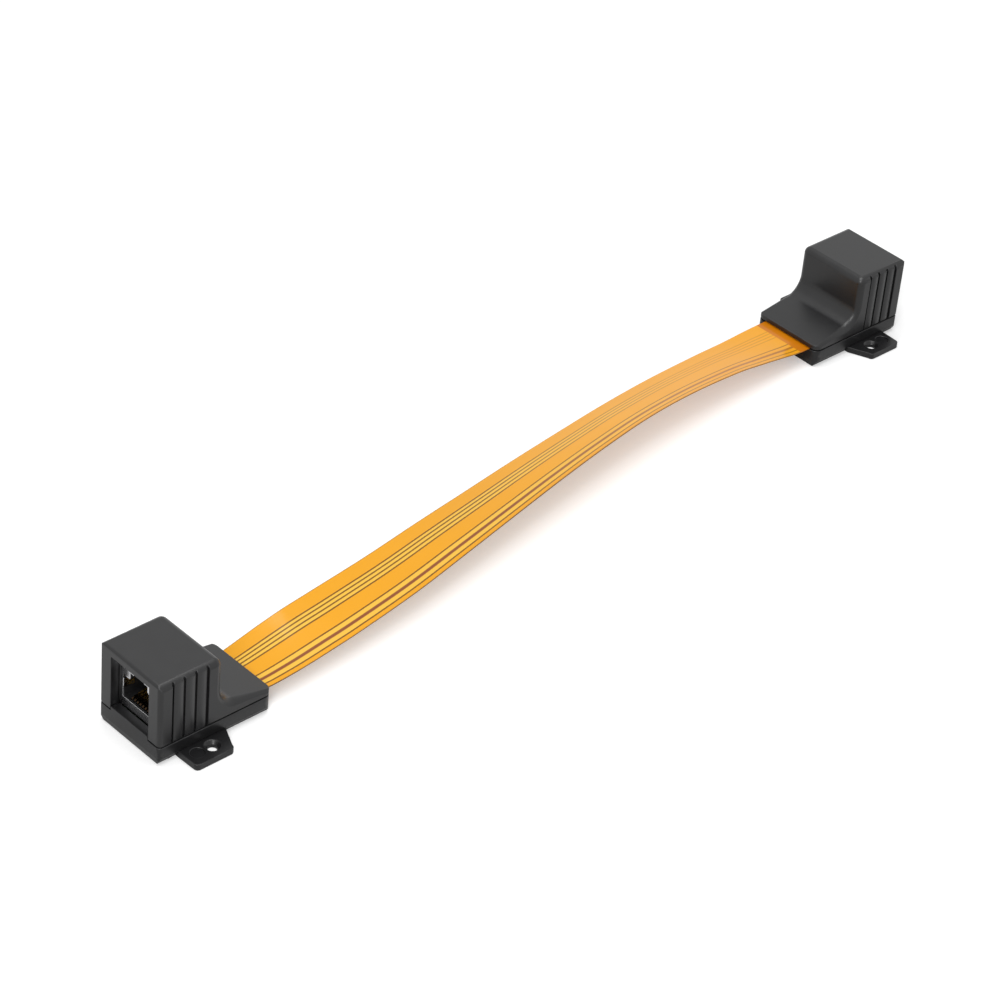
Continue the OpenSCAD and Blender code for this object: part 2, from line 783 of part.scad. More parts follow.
module left_cover() at_left() cover();
module left_base() at_left() base();
module left_shield() at_left() shield();
module left_insulator() at_left() insulator();
module left_contact_insert() at_left() contact_insert();
module left_contacts() at_left() contacts();
module left_board() at_left() board();
module left_stiffener() at_left() stiffener();
module left_screws() at_left() screws();
module right_cover() at_right() cover();
module right_base() at_right() base();
module right_shield() at_right() shield();
module right_insulator() at_right() insulator();
module right_contact_insert() at_right() contact_insert();
module right_contacts() at_right() contacts();
module right_board() at_right() board();
module right_stiffener() at_right() stiffener();
module right_screws() at_right() screws();

left_cover();
left_base();
left_shield();
left_insulator();
left_contact_insert();
left_contacts();
left_board();
left_stiffener();
left_screws();
right_cover();
right_base();
right_shield();
right_insulator();
right_contact_insert();
right_contacts();
right_board();
right_stiffener();
right_screws();
ribbon();
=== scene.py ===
# %% [markdown]
# # A flat network pass-through
# Two dark plastic housings hold a network socket each, and a thin amber ribbon carries the line
# between them, so that it can pass under a closed window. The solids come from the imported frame.
# This lesson gives them soft edges, a ribbon that bends like film, and finishes that read as
# moulded plastic, tinned sheet and copper under film.

import math

import bmesh
import bpy
from mathutils import Matrix, Vector
from mathutils.bvhtree import BVHTree


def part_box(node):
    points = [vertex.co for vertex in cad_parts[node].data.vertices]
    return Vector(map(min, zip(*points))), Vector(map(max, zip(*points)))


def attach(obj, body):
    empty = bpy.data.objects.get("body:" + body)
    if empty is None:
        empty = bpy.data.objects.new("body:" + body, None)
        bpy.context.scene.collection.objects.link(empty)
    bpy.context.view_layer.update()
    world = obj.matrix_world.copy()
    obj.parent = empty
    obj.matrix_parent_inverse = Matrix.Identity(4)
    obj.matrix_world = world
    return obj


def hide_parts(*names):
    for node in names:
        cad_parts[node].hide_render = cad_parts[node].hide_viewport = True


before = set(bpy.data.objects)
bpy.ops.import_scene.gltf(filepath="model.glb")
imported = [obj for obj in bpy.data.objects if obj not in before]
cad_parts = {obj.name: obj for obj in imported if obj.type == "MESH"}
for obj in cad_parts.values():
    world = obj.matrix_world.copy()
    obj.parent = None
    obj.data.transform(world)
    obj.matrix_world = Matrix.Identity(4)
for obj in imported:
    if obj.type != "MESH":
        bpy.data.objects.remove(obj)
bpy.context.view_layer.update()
scene = bpy.context.scene
scene.view_settings.view_transform = "Standard"
MM = 0.001
ENDS = ("left", "right")
print("solids in the frame:", len(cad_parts))

# %% [markdown]
# ## Camera
# The picture looks down on the near socket with a long lens, so lines that run away from us stay
# almost parallel. The place, the point looked at and the roll were fitted to the housings' corners.
# A look-at turn is easier to read than three angles, and the roll is added about the view line.

# %% Camera
camera_place = Vector((-537.4, -510.3, 525.0)) * MM
camera_aim = Vector((-8.1, 5.1, 2.3)) * MM
camera_roll = math.radians(5.4)

studio_lens = bpy.data.cameras.new("studio_camera")
studio_lens.sensor_width = 36.0
studio_lens.lens = 122.4
studio_camera = bpy.data.objects.new("studio_camera", studio_lens)
scene.collection.objects.link(studio_camera)
facing = (camera_aim - camera_place).to_track_quat("-Z", "Y").to_matrix().to_4x4()
turned = facing @ Matrix.Rotation(camera_roll, 4, "Z")
studio_camera.matrix_world = Matrix.Translation(camera_place) @ turned
scene.camera = studio_camera
print("camera distance in mm:", round((camera_aim - camera_place).length / MM))

# %% [markdown]
# ## The ribbon's route
# The ribbon is a springy laminated film. It leaves each tail flat at the parting line, arches a
# little, twists one way and then the other, and steps sideways between the housings. A few points
# with a height and a roll describe that, and a smooth curve passes through all of them. Inside
# the housings it runs straight on, under each small board.

# %% Route of the ribbon
ribbon_width = 17.5 * MM
ribbon_thickness = 0.3 * MM
exit_half = 111.2 * MM
half_step = 13.0 * MM
exit_height = 5.15 * MM
route_steps = 12

route = [
    (-1, -1, 0, 0), (-0.97, -1, 0.4, 3), (-0.93, -1, 1.1, 6), (-0.88, -0.99, 1.9, 9),
    (-0.81, -0.96, 2.8, 11), (-0.72, -0.91, 3.6, 10.5), (-0.54, -0.74, 4.6, 6.5), (-0.36, -0.49, 5.3, 1),
    (-0.18, -0.22, 5.6, -5), (0, 0.06, 5.7, -10), (0.18, 0.33, 5.5, -14), (0.36, 0.58, 5, -16),
    (0.54, 0.78, 3.9, -15), (0.72, 0.92, 2.3, -12), (0.83, 0.97, 1.1, -8), (0.9, 0.99, 0.5, -4),
    (0.95, 1, 0.1, -1), (1, 1, 0, 0),
]


def route_point(i):
    along, aside, rise, roll = route[min(max(i, 0), len(route) - 1)]
    return Vector((along * exit_half, aside * half_step, exit_height + rise * MM, roll))


def smooth_point(i, t):
    a, b, c, d = (route_point(i + k) for k in (-1, 0, 1, 2))
    return 0.5 * (
        2 * b + (c - a) * t + (2 * a - 5 * b + 4 * c - d) * t**2 + (3 * b - a - 3 * c + d) * t**3
    )


inner_left = [-127.5, -122.6]
ribbon_line = [Vector((x * MM, -half_step, exit_height, 0)) for x in inner_left]
for i in range(len(route) - 1):
    ribbon_line += [smooth_point(i, k / route_steps) for k in range(route_steps)]
ribbon_line.append(route_point(len(route) - 1))
ribbon_line += [Vector((-x * MM, half_step, exit_height, 0)) for x in reversed(inner_left)]
ribbon_path = [point.xyz for point in ribbon_line]
ribbon_length = sum((b - a).length for a, b in zip(ribbon_path, ribbon_path[1:]))
print("ribbon length in mm:", round(ribbon_length / MM, 1))

# %% [markdown]
# ## The ribbon's film
# A row of points across the film is extruded from place to place along the route. Each point
# remembers its share of the width and its distance along the film, so the copper lines can be
# drawn later on a map that follows every twist. Solidify then gives the film its thickness.
# Operators may list new faces in another order each time, so a finished mesh is sorted by place.

# %% Film of the ribbon
film_columns = 16
film_sharp_angle = math.radians(50)


def sort_by_place(bm):
    for rank, vert in enumerate(sorted(bm.verts, key=lambda vert: tuple(vert.co))):
        vert.index = rank
    for rank, face in enumerate(sorted(bm.faces, key=lambda face: tuple(face.calc_center_median()))):
        face.index = rank
    bm.verts.sort()
    bm.faces.sort()


def film_frame(i):
    ahead = (ribbon_path[min(i + 1, len(ribbon_path) - 1)] - ribbon_path[max(i - 1, 0)]).normalized()
    side = Vector((0, 0, 1)).cross(ahead).normalized()
    up = ahead.cross(side)
    roll = math.radians(ribbon_line[i][3])
    wide = side * math.cos(roll) + up * math.sin(roll)
    thick = up * math.cos(roll) - side * math.sin(roll)
    return ribbon_path[i], wide, thick


def make_film():
    bm = bmesh.new()
    across = bm.verts.layers.float.new("across")
    along = bm.verts.layers.float.new("along")
    film_map = bm.loops.layers.uv.new("film_map")
    row = [bm.verts.new() for _ in range(film_columns + 1)]
    for k, vert in enumerate(row):
        vert[across] = k / film_columns
    edges = [bm.edges.new(pair) for pair in zip(row, row[1:])]
    travelled = 0.0
    for i in range(len(ribbon_path)):
        if i:
            grown = bmesh.ops.extrude_edge_only(bm, edges=edges)["geom"]
            row = [part for part in grown if isinstance(part, bmesh.types.BMVert)]
            new = set(row)
            lines = [part for part in grown if isinstance(part, bmesh.types.BMEdge)]
            edges = [edge for edge in lines if set(edge.verts) <= new]
            travelled += (ribbon_path[i] - ribbon_path[i - 1]).length
        middle, wide, thick = film_frame(i)
        for vert in row:
            vert.co = middle + wide * (0.5 - vert[across]) * ribbon_width - thick * ribbon_thickness / 2
            vert[along] = travelled / ribbon_length
    for face in bm.faces:
        face.smooth = True
        for loop in face.loops:
            loop[film_map].uv = (loop.vert[across], loop.vert[along])
    bmesh.ops.recalc_face_normals(bm, faces=bm.faces[:])
    if sum(face.normal.z for face in bm.faces) < 0:
        bmesh.ops.reverse_faces(bm, faces=bm.faces[:])
    bmesh.ops.solidify(bm, geom=bm.faces[:], thickness=-ribbon_thickness)
    bmesh.ops.recalc_face_normals(bm, faces=bm.faces[:])
    sort_by_place(bm)
    mesh = bpy.data.meshes.new("ribbon_film")
    bm.to_mesh(mesh)
    bm.free()
    mesh.set_sharp_from_angle(angle=film_sharp_angle)
    return mesh


ribbon = bpy.data.objects.new("ribbon_film", make_film())
scene.collection.objects.link(ribbon)
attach(ribbon, "root")
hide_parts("ribbon")
heights = [vert.co.z for vert in ribbon.data.vertices]
print("film faces:", len(ribbon.data.polygons), "lowest in mm:", round(min(heights) / MM, 2))

# %% [markdown]
# ## Soft edges for the moulded and pressed pieces
# A solid from the frame has razor-sharp edges, but a moulded or pressed edge is always a little
# round, and that thin round is what catches the light. A copy of the solid is welded and its flat
# triangles are joined again, and needle-thin leftovers join their neighbours. Then each edge that
# stands out is bevelled, apart from those beside faces that are thinner than the bevel is wide.
# Where a bevel still runs past a short edge, its stray corner goes back to the solid's surface. The
# new faces are marked, so that a finish can rub them a little brighter, as hands and tools do.
# Hollow corners stay as they are.

# %% Edges that stand out
needle_thickness = 0.03 * MM
standing_angle = math.radians(40)


def thickness(face):
    return 2 * face.calc_area() / max(edge.calc_length() for edge in face.edges)


def join_needles(bm):
    needles = [face for face in bm.faces if thickness(face) < needle_thickness]
    longest = dict.fromkeys(max(face.edges, key=lambda edge: edge.calc_length()) for face in needles)
    bmesh.ops.dissolve_edges(bm, edges=list(longest), use_verts=False, use_face_split=False)


def stands_out(edge, width):
    if not edge.is_manifold or any(thickness(face) < width for face in edge.link_faces):
        return False
    return edge.calc_face_angle_signed(0) > standing_angle


# %% Rounded copy of a solid
weld_gap = 0.02 * MM
flat_angle = math.radians(0.4)
stray_share = 0.35


def bring_back(bm, surface, reach):
    strays = 0
    for vert in bm.verts:
        nearest, _, _, distance = surface.find_nearest(vert.co)
        if distance > reach:
            vert.co = nearest
            strays += 1
    return strays


def rounded_copy(node, width):
    bm = bmesh.new()
    bm.from_mesh(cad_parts[node].data)
    rubbed = bm.faces.layers.float.new("rubbed")
    bmesh.ops.remove_doubles(bm, verts=bm.verts[:], dist=weld_gap)
    surface = BVHTree.FromBMesh(bm)
    bmesh.ops.dissolve_degenerate(bm, dist=weld_gap, edges=bm.edges[:])
    bmesh.ops.dissolve_limit(
        bm, angle_limit=flat_angle, verts=bm.verts[:], edges=bm.edges[:], use_dissolve_boundaries=False
    )
    join_needles(bm)
    sharp = [edge for edge in bm.edges if stands_out(edge, width)]
    rounded = bmesh.ops.bevel(
        bm, geom=sharp, offset=width, offset_type="OFFSET", affect="EDGES", segments=2,
        profile=0.5, material=-1, clamp_overlap=False, loop_slide=True,
    )
    strays = bring_back(bm, surface, stray_share * width)
    for face in rounded["faces"]:
        face[rubbed] = 1.0
    print(node, "edges rounded:", len(sharp), "strays:", strays, "faces:", len(bm.faces))
    return bm


# %% Soft edges
sharp_angle = math.radians(45)


def soften(node, name, width):
    bm = rounded_copy(node, width)
    for face in bm.faces:
        face.smooth = True
    sort_by_place(bm)
    mesh = bpy.data.meshes.new(name)
    bm.to_mesh(mesh)
    bm.free()
    if "custom_normal" in mesh.attributes:
        mesh.attributes.remove(mesh.attributes["custom_normal"])
    mesh.materials.clear()
    mesh.set_sharp_from_angle(angle=sharp_angle)
    piece = bpy.data.objects.new(name, mesh)
    scene.collection.objects.link(piece)
    flats = piece.modifiers.new("flat faces stay flat", "WEIGHTED_NORMAL")
    flats.keep_sharp = True
    flats.weight = 100
    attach(piece, "root")
    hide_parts(node)
    return piece


soft_kinds = [
    ("cover", "moulding", 0.16 * MM, "shell"),
    ("base", "moulding", 0.16 * MM, "shell"),
    ("shield", "sheet", 0.05 * MM, "tinned_sheet"),
    ("insulator", "block", 0.06 * MM, "black_plastic"),
]
dressed = {}
for end in ENDS:
    for kind, form, width, slot in soft_kinds:
        dressed[end, kind] = soften(f"{end}_{kind}", f"{end}_{kind}_{form}", width)

# %% [markdown]
# ## Shared effects
# Several finishes need the same two things: a fine moulded or brushed grain, and edges that are
# rubbed a little lighter. Each is a node group with named inputs, built once. Patterns read Object
# coordinates, and a Mapping node turns metres into millimetres, so a scale of 5 is five per mm.


# %% Node groups
def new_group(name, inputs, outputs):
    group = bpy.data.node_groups.new(name, "ShaderNodeTree")
    for label, kind, value in inputs:
        socket = group.interface.new_socket(label, in_out="INPUT", socket_type=kind)
        if value is not None:
            socket.default_value = value
    for label, kind in outputs:
        group.interface.new_socket(label, in_out="OUTPUT", socket_type=kind)
    start = group.nodes.new("NodeGroupInput")
    finish = group.nodes.new("NodeGroupOutput")
    return group, start, finish


def grain_group():
    group, start, finish = new_group(
        "fine_grain",
        [
            ("Vector", "NodeSocketVector", None),
            ("Grain", "NodeSocketFloat", 6.0),
            ("Mottle", "NodeSocketFloat", 0.3),
        ],
        [("Height", "NodeSocketFloat"), ("Shade", "NodeSocketFloat")],
    )
    speck = group.nodes.new("ShaderNodeTexNoise")
    speck.inputs["Detail"].default_value = 3.0
    cloud = group.nodes.new("ShaderNodeTexNoise")
    cloud.inputs["Detail"].default_value = 4.0
    group.links.new(start.outputs["Vector"], speck.inputs["Vector"])
    group.links.new(start.outputs["Grain"], speck.inputs["Scale"])
    group.links.new(start.outputs["Vector"], cloud.inputs["Vector"])
    group.links.new(start.outputs["Mottle"], cloud.inputs["Scale"])
    group.links.new(speck.outputs["Fac"], finish.inputs["Height"])
    group.links.new(cloud.outputs["Fac"], finish.inputs["Shade"])
    return group


def rub_group():
    group, start, finish = new_group(
        "rubbed_edges",
        [
            ("Color", "NodeSocketColor", (0.1, 0.1, 0.1, 1)),
            ("Rubbed color", "NodeSocketColor", (0.3, 0.3, 0.3, 1)),
            ("Mask", "NodeSocketFloat", 0.0),
            ("Patches", "NodeSocketFloat", 0.5),
            ("Amount", "NodeSocketFloat", 0.5),
        ],
        [("Color", "NodeSocketColor"), ("Wear", "NodeSocketFloat")],
    )
    patchy = group.nodes.new("ShaderNodeMapRange")
    patchy.inputs["From Min"].default_value = 0.35
    patchy.inputs["From Max"].default_value = 0.65
    gather = group.nodes.new("ShaderNodeMath")
    gather.operation = "MULTIPLY"
    share = group.nodes.new("ShaderNodeMath")
    share.operation = "MULTIPLY"
    blend = group.nodes.new("ShaderNodeMix")
    blend.data_type = "RGBA"
    group.links.new(start.outputs["Patches"], patchy.inputs["Value"])
    group.links.new(start.outputs["Mask"], gather.inputs[0])
    group.links.new(patchy.outputs["Result"], gather.inputs[1])
    group.links.new(gather.outputs["Value"], share.inputs[0])
    group.links.new(start.outputs["Amount"], share.inputs[1])
    group.links.new(share.outputs["Value"], blend.inputs["Factor"])
    group.links.new(start.outputs["Color"], blend.inputs["A"])
    group.links.new(start.outputs["Rubbed color"], blend.inputs["B"])
    group.links.new(blend.outputs["Result"], finish.inputs["Color"])
    group.links.new(share.outputs["Value"], finish.inputs["Wear"])
    return group


fine_grain = grain_group()
rubbed_edges = rub_group()
print("node groups:", [group.name for group in bpy.data.node_groups])

# %% [markdown]
# ## A workbench for finishes
# Every finish here starts the same way, with millimetre coordinates and the grain group. Nodes could
# be laid out by hand for each one, but small helpers that blend colours, spread a value over a
# range, rub the edges and add a bump keep each finish to a few lines with its own numbers.


# %% Colours and sums
def linear(red, green, blue):
    def one(value):
        value /= 255
        return value / 12.92 if value <= 0.04045 else ((value + 0.055) / 1.055) ** 2.4

    return (one(red), one(green), one(blue), 1.0)


def feed(tree, socket, value):
    if isinstance(value, bpy.types.NodeSocket):
        tree.links.new(value, socket)
    else:
        socket.default_value = value


def blend_colors(tree, factor, first, second, how="MIX"):
    node = tree.nodes.new("ShaderNodeMix")
    node.data_type = "RGBA"
    node.blend_type = how
    feed(tree, node.inputs["Factor"], factor)
    feed(tree, node.inputs["A"], first)
    feed(tree, node.inputs["B"], second)
    return node.outputs["Result"]


def spread(tree, value, low, high):
    node = tree.nodes.new("ShaderNodeMapRange")
    tree.links.new(value, node.inputs["Value"])
    node.inputs["To Min"].default_value = low
    node.inputs["To Max"].default_value = high
    return node.outputs["Result"]


def calculate(tree, operation, first, second=0.0):
    node = tree.nodes.new("ShaderNodeMath")
    node.operation = operation
    feed(tree, node.inputs[0], first)
    feed(tree, node.inputs[1], second)
    return node.outputs["Value"]


# %% Finish helper
def add_group(tree, group):
    node = tree.nodes.new("ShaderNodeGroup")
    node.node_tree = group
    return node


def start_finish(name, stretch=(1000, 1000, 1000), grain=6.0, mottle=0.3):
    material = bpy.data.materials.new(name)
    material.use_nodes = True
    tree = material.node_tree
    shader = tree.nodes["Principled BSDF"]
    place = tree.nodes.new("ShaderNodeTexCoord")
    millimetres = tree.nodes.new("ShaderNodeMapping")
    millimetres.inputs["Scale"].default_value = stretch
    tree.links.new(place.outputs["Object"], millimetres.inputs["Vector"])
    texture = add_group(tree, fine_grain)
    texture.inputs["Grain"].default_value = grain
    texture.inputs["Mottle"].default_value = mottle
    tree.links.new(millimetres.outputs["Vector"], texture.inputs["Vector"])
    return material, tree, shader, texture


def object_place(tree):
    return next(node for node in tree.nodes if node.type == "TEX_COORD").outputs["Object"]


def add_bump(tree, shader, height, depth, strength):
    bump = tree.nodes.new("ShaderNodeBump")
    bump.inputs["Distance"].default_value = depth
    bump.inputs["Strength"].default_value = strength
    tree.links.new(height, bump.inputs["Height"])
    tree.links.new(bump.outputs["Normal"], shader.inputs["Normal"])


def add_wear(tree, texture, color, rubbed_color, amount):
    mark = tree.nodes.new("ShaderNodeAttribute")
    mark.attribute_name = "rubbed"
    wear = add_group(tree, rubbed_edges)
    wear.inputs["Rubbed color"].default_value = rubbed_color
    wear.inputs["Amount"].default_value = amount
    tree.links.new(color, wear.inputs["Color"])
    tree.links.new(mark.outputs["Fac"], wear.inputs["Mask"])
    tree.links.new(texture.outputs["Shade"], wear.inputs["Patches"])
    return wear


# %% [markdown]
# ## Moulded shell plastic
# The housings are nearly black plastic from a finely eroded mould: satin, with a faint sparkle of
# grain that breaks up reflections. Most of the grey that we see is white surroundings mirrored in
# that satin, so the colour itself is dark, and hollows that see no light go black. The colour
# drifts a little, as regrind does, and the raised edges are polished lighter by handling. The base
# looks duller than the cover, as if its mould had a rougher face, so it mirrors less.


# %% Shell plastic
def shell_finish(name, shine):
    material, tree, shader, texture = start_finish(name, grain=5.0, mottle=0.22)
    shade = blend_colors(tree, texture.outputs["Shade"], linear(20, 20, 21), linear(28, 28, 29))
    wear = add_wear(tree, texture, shade, linear(66, 66, 68), amount=0.5)
    tree.links.new(wear.outputs["Color"], shader.inputs["Base Color"])
    tree.links.new(spread(tree, texture.outputs["Shade"], 0.29, 0.37), shader.inputs["Roughness"])
    shader.inputs["Specular IOR Level"].default_value = shine
    add_bump(tree, shader, texture.outputs["Height"], depth=0.02 * MM, strength=0.35)
    return material


cover_plastic = shell_finish("cover_plastic", shine=0.48)
base_plastic = shell_finish("base_plastic", shine=0.36)
for end in ENDS:
    dressed[end, "cover"].data.materials.append(cover_plastic)
    dressed[end, "base"].data.materials.append(base_plastic)
print("shell plastic on", 2 * len(ENDS), "mouldings")

# %% [markdown]
# ## Tinned sheet, black insulator and gold contacts
# The socket's shield is thin sheet with a bright tin coat. Rolling leaves fine streaks along it, so its
# grain is stretched. The insulator inside is dull black. The contacts are gold-plated bronze wire, and the
# bend at their front end is coloured dark brown, painted shade for the shadow inside the socket, so that it
# shows no glints.

# %% Tinned sheet
tinned_sheet, tree, shader, texture = start_finish(
    "tinned_sheet", stretch=(1000, 1000, 120), grain=7.0, mottle=0.6
)
shade = blend_colors(tree, texture.outputs["Shade"], linear(196, 196, 198), linear(226, 226, 228))
wear = add_wear(tree, texture, shade, linear(242, 242, 243), amount=0.8)
tree.links.new(wear.outputs["Color"], shader.inputs["Base Color"])
tree.links.new(spread(tree, texture.outputs["Height"], 0.14, 0.24), shader.inputs["Roughness"])
shader.inputs["Metallic"].default_value = 1.0
add_bump(tree, shader, texture.outputs["Height"], depth=0.003 * MM, strength=0.2)
for end in ENDS:
    dressed[end, "shield"].data.materials.append(tinned_sheet)
print("tinned sheet on", len(ENDS), "shields")

# %% Black insulator
insulator_black, tree, shader, texture = start_finish("insulator_black", grain=8.0, mottle=0.5)
shade = blend_colors(tree, texture.outputs["Shade"], linear(13, 13, 14), linear(22, 22, 23))
wear = add_wear(tree, texture, shade, linear(48, 48, 50), amount=0.4)
tree.links.new(wear.outputs["Color"], shader.inputs["Base Color"])
tree.links.new(spread(tree, texture.outputs["Shade"], 0.5, 0.66), shader.inputs["Roughness"])
add_bump(tree, shader, texture.outputs["Height"], depth=0.015 * MM, strength=0.3)
for end in ENDS:
    dressed[end, "insulator"].data.materials.append(insulator_black)
print("dull black on", len(ENDS), "insulators")


# %% Contacts and inner pieces
def paint(node, material):
    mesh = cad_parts[node].data
    mesh.materials.clear()
    mesh.materials.append(material)


contact_gold, tree, shader, texture = start_finish(
    "contact_gold", stretch=(150, 1000, 1000), grain=9.0, mottle=0.8
)
shade = blend_colors(tree, texture.outputs["Shade"], linear(224, 176, 84), linear(246, 208, 124))
contact_front = max(abs(corner.x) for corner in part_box("left_contacts"))
dark_bend_length, dark_bend_blend = 1.6 * MM, 0.8 * MM
split = tree.nodes.new("ShaderNodeSeparateXYZ")
tree.links.new(object_place(tree), split.inputs["Vector"])
# The front bend of each contact is coloured dark brown: painted shade inside the socket.
dark_bend = tree.nodes.new("ShaderNodeMapRange")
dark_bend.inputs["From Min"].default_value = contact_front - dark_bend_length - dark_bend_blend
dark_bend.inputs["From Max"].default_value = contact_front - dark_bend_length
tree.links.new(calculate(tree, "ABSOLUTE", split.outputs["X"]), dark_bend.inputs["Value"])
gold_and_shade = blend_colors(tree, dark_bend.outputs["Result"], shade, linear(62, 48, 34))
tree.links.new(gold_and_shade, shader.inputs["Base Color"])
tree.links.new(spread(tree, texture.outputs["Height"], 0.2, 0.34), shader.inputs["Roughness"])
shader.inputs["Metallic"].default_value = 1.0
add_bump(tree, shader, texture.outputs["Height"], depth=0.005 * MM, strength=0.25)
print("contacts reach out to mm:", round(contact_front / MM, 2))
for end in ENDS:
    paint(f"{end}_contacts", contact_gold)
    paint(f"{end}_contact_insert", insulator_black)

# %% [markdown]
# ## Circuit board and stiffener
# The board is hidden apart from its front edge. It has black mask over a woven laminate, so a fine
# square weave shows through the colour. The stiffener is a thick amber film.

# %% Board and stiffener
board_mask, tree, shader, texture = start_finish("board_mask", grain=3.0, mottle=0.5)
weave = tree.nodes.new("ShaderNodeTexChecker")
weave.inputs["Scale"].default_value = 2.5 / MM
tree.links.new(object_place(tree), weave.inputs["Vector"])
weave.inputs["Color1"].default_value = linear(18, 20, 18)
weave.inputs["Color2"].default_value = linear(26, 28, 26)
wear = add_wear(tree, texture, weave.outputs["Color"], linear(60, 62, 58), amount=0.3)
tree.links.new(wear.outputs["Color"], shader.inputs["Base Color"])
tree.links.new(spread(tree, texture.outputs["Shade"], 0.25, 0.4), shader.inputs["Roughness"])
add_bump(tree, shader, weave.outputs["Fac"], depth=0.006 * MM, strength=0.3)

stiffener_amber, tree, shader, texture = start_finish("stiffener_amber", grain=4.0, mottle=0.4)
shade = blend_colors(tree, texture.outputs["Shade"], linear(176, 104, 22), linear(198, 124, 34))
tree.links.new(shade, shader.inputs["Base Color"])
tree.links.new(spread(tree, texture.outputs["Height"], 0.28, 0.4), shader.inputs["Roughness"])
add_bump(tree, shader, texture.outputs["Height"], depth=0.006 * MM, strength=0.3)
for end in ENDS:
    paint(f"{end}_board", board_mask)
    paint(f"{end}_stiffener", stiffener_amber)
print("mask and amber film on", 2 * len(ENDS), "hidden pieces")

# %% [markdown]
# ## Copper lines under amber film
# The film is clear amber over broad copper, and the copper is split by narrow gaps that look like
# dark lines. They keep their share of the width all along, so ramps over the film's map draw them:
# one for the tone of the strips, one for the places of the lines, and one for the lines' colours.
# Towards the right-hand housing the strips and lines fade into one lighter amber, a painted sheen that
# stands for the film's gloss there, and where the film goes in there, a darker band is painted shade where
# the housing darkens the film. All of it stays fixed to the film.

# %% Tones across the film
copper_film, tree, shader, texture = start_finish("copper_film", grain=2.0, mottle=0.05)
film_place = tree.nodes.new("ShaderNodeUVMap")
film_place.uv_map = "film_map"
split = tree.nodes.new("ShaderNodeSeparateXYZ")
tree.links.new(film_place.outputs["UV"], split.inputs["Vector"])


def ramp_across(stops, steps=False):
    ramp = tree.nodes.new("ShaderNodeValToRGB")
    ramp.color_ramp.interpolation = "CONSTANT" if steps else "LINEAR"
    first, last = ramp.color_ramp.elements
    first.color, last.color = stops[0][1], stops[-1][1]
    for at, color in stops[1:-1]:
        ramp.color_ramp.elements.new(at).color = color
    tree.links.new(split.outputs["X"], ramp.inputs["Fac"])
    return ramp.outputs["Color"]


def along_film(start, stop):
    node = tree.nodes.new("ShaderNodeMapRange")
    node.inputs["From Min"].default_value = start
    node.inputs["From Max"].default_value = stop
    tree.links.new(split.outputs["Y"], node.inputs["Value"])
    return node.outputs["Result"]


film_amber = linear(236, 164, 20)
film_pale = linear(241, 189, 66)
strip_tone = ramp_across([
    (0, film_amber), (0.24, film_amber), (0.25, film_pale), (0.44, film_pale), (0.45, film_amber),
    (0.705, film_amber), (0.72, film_pale), (0.92, film_pale), (0.935, film_amber), (1, film_amber),
])
# The fade along the film is a painted sheen: towards the right-hand housing, strips and lines give way to a
# lighter amber that stands for the film's gloss.
sheen_start, sheen_stop = 0.42, 0.8
painted_sheen = along_film(sheen_start, sheen_stop)
far_exit = 1 - (-inner_left[0] * MM - exit_half) / ribbon_length
# Where the film goes into the right-hand housing, a darker band is painted shade where the housing darkens
# the film.
painted_shade_length, painted_shade_blend = 3.2 * MM, 0.4 * MM
painted_shade_edge = far_exit - painted_shade_length / ribbon_length
painted_shade_band = along_film(painted_shade_edge - painted_shade_blend / ribbon_length, painted_shade_edge)
print("film colour:", [round(value, 3) for value in film_amber[:3]], "far exit at", round(far_exit, 3))

# %% Lines across the film
black, white = (0, 0, 0, 1), (1, 1, 1, 1)
gap_brown = linear(120, 76, 8)
bare_copper = linear(140, 76, 36)
thin, thick = 0.009, 0.019
line_spread = 1.6
gaps = [
    (0.246, thin), (0.309, thin), (0.377, thin), (0.446, thin), (0.714, thin), (0.817, thick), (0.92, thin),
]
rim = 0.014
line_stops = [(0, white), (rim, black)]
for at, half in gaps:
    soft = line_spread * half
    line_stops += [(at - soft, black), (at - half, white), (at + half, white), (at + soft, black)]
line_stops += [(1 - rim, black), (1, white)]
line_mask = ramp_across(line_stops)
line_color = ramp_across(
    [(0, gap_brown), (0.77, bare_copper), (0.865, gap_brown), (1, gap_brown)], steps=True
)
print("stops in the line ramp:", len(line_stops))

# %% Layers of the film
# A lighter amber and a fading of the lines towards the right-hand housing are painted sheen; the lines fade
# more over one part of the width than over the other.
sheen_amber = linear(246, 170, 26)
# Two dark ambers for the painted shade at the right-hand housing's entry.
painted_shade_amber, painted_shade_light = linear(206, 120, 6), linear(214, 128, 8)
strong_sheen, weak_sheen = (0.75, 0.75, 0.75, 1), (0.35, 0.35, 0.35, 1)
tone = blend_colors(tree, painted_sheen, strip_tone, sheen_amber)
lines = blend_colors(tree, line_mask, tone, line_color)
sheen_across = ramp_across([(0, strong_sheen), (0.55, strong_sheen), (0.65, weak_sheen), (1, weak_sheen)])
sheen_cover = calculate(tree, "MULTIPLY", painted_sheen, sheen_across)
film = blend_colors(tree, sheen_cover, lines, tone)
# The darker band at the right-hand housing's entry, a little lighter along its middle, is painted shade.
painted_shade_film = ramp_across([(0, painted_shade_amber), (0.5, painted_shade_light), (1, painted_shade_amber)])
film = blend_colors(tree, painted_shade_band, film, painted_shade_film)
print("layers in the film: strips, lines, cover and collar")

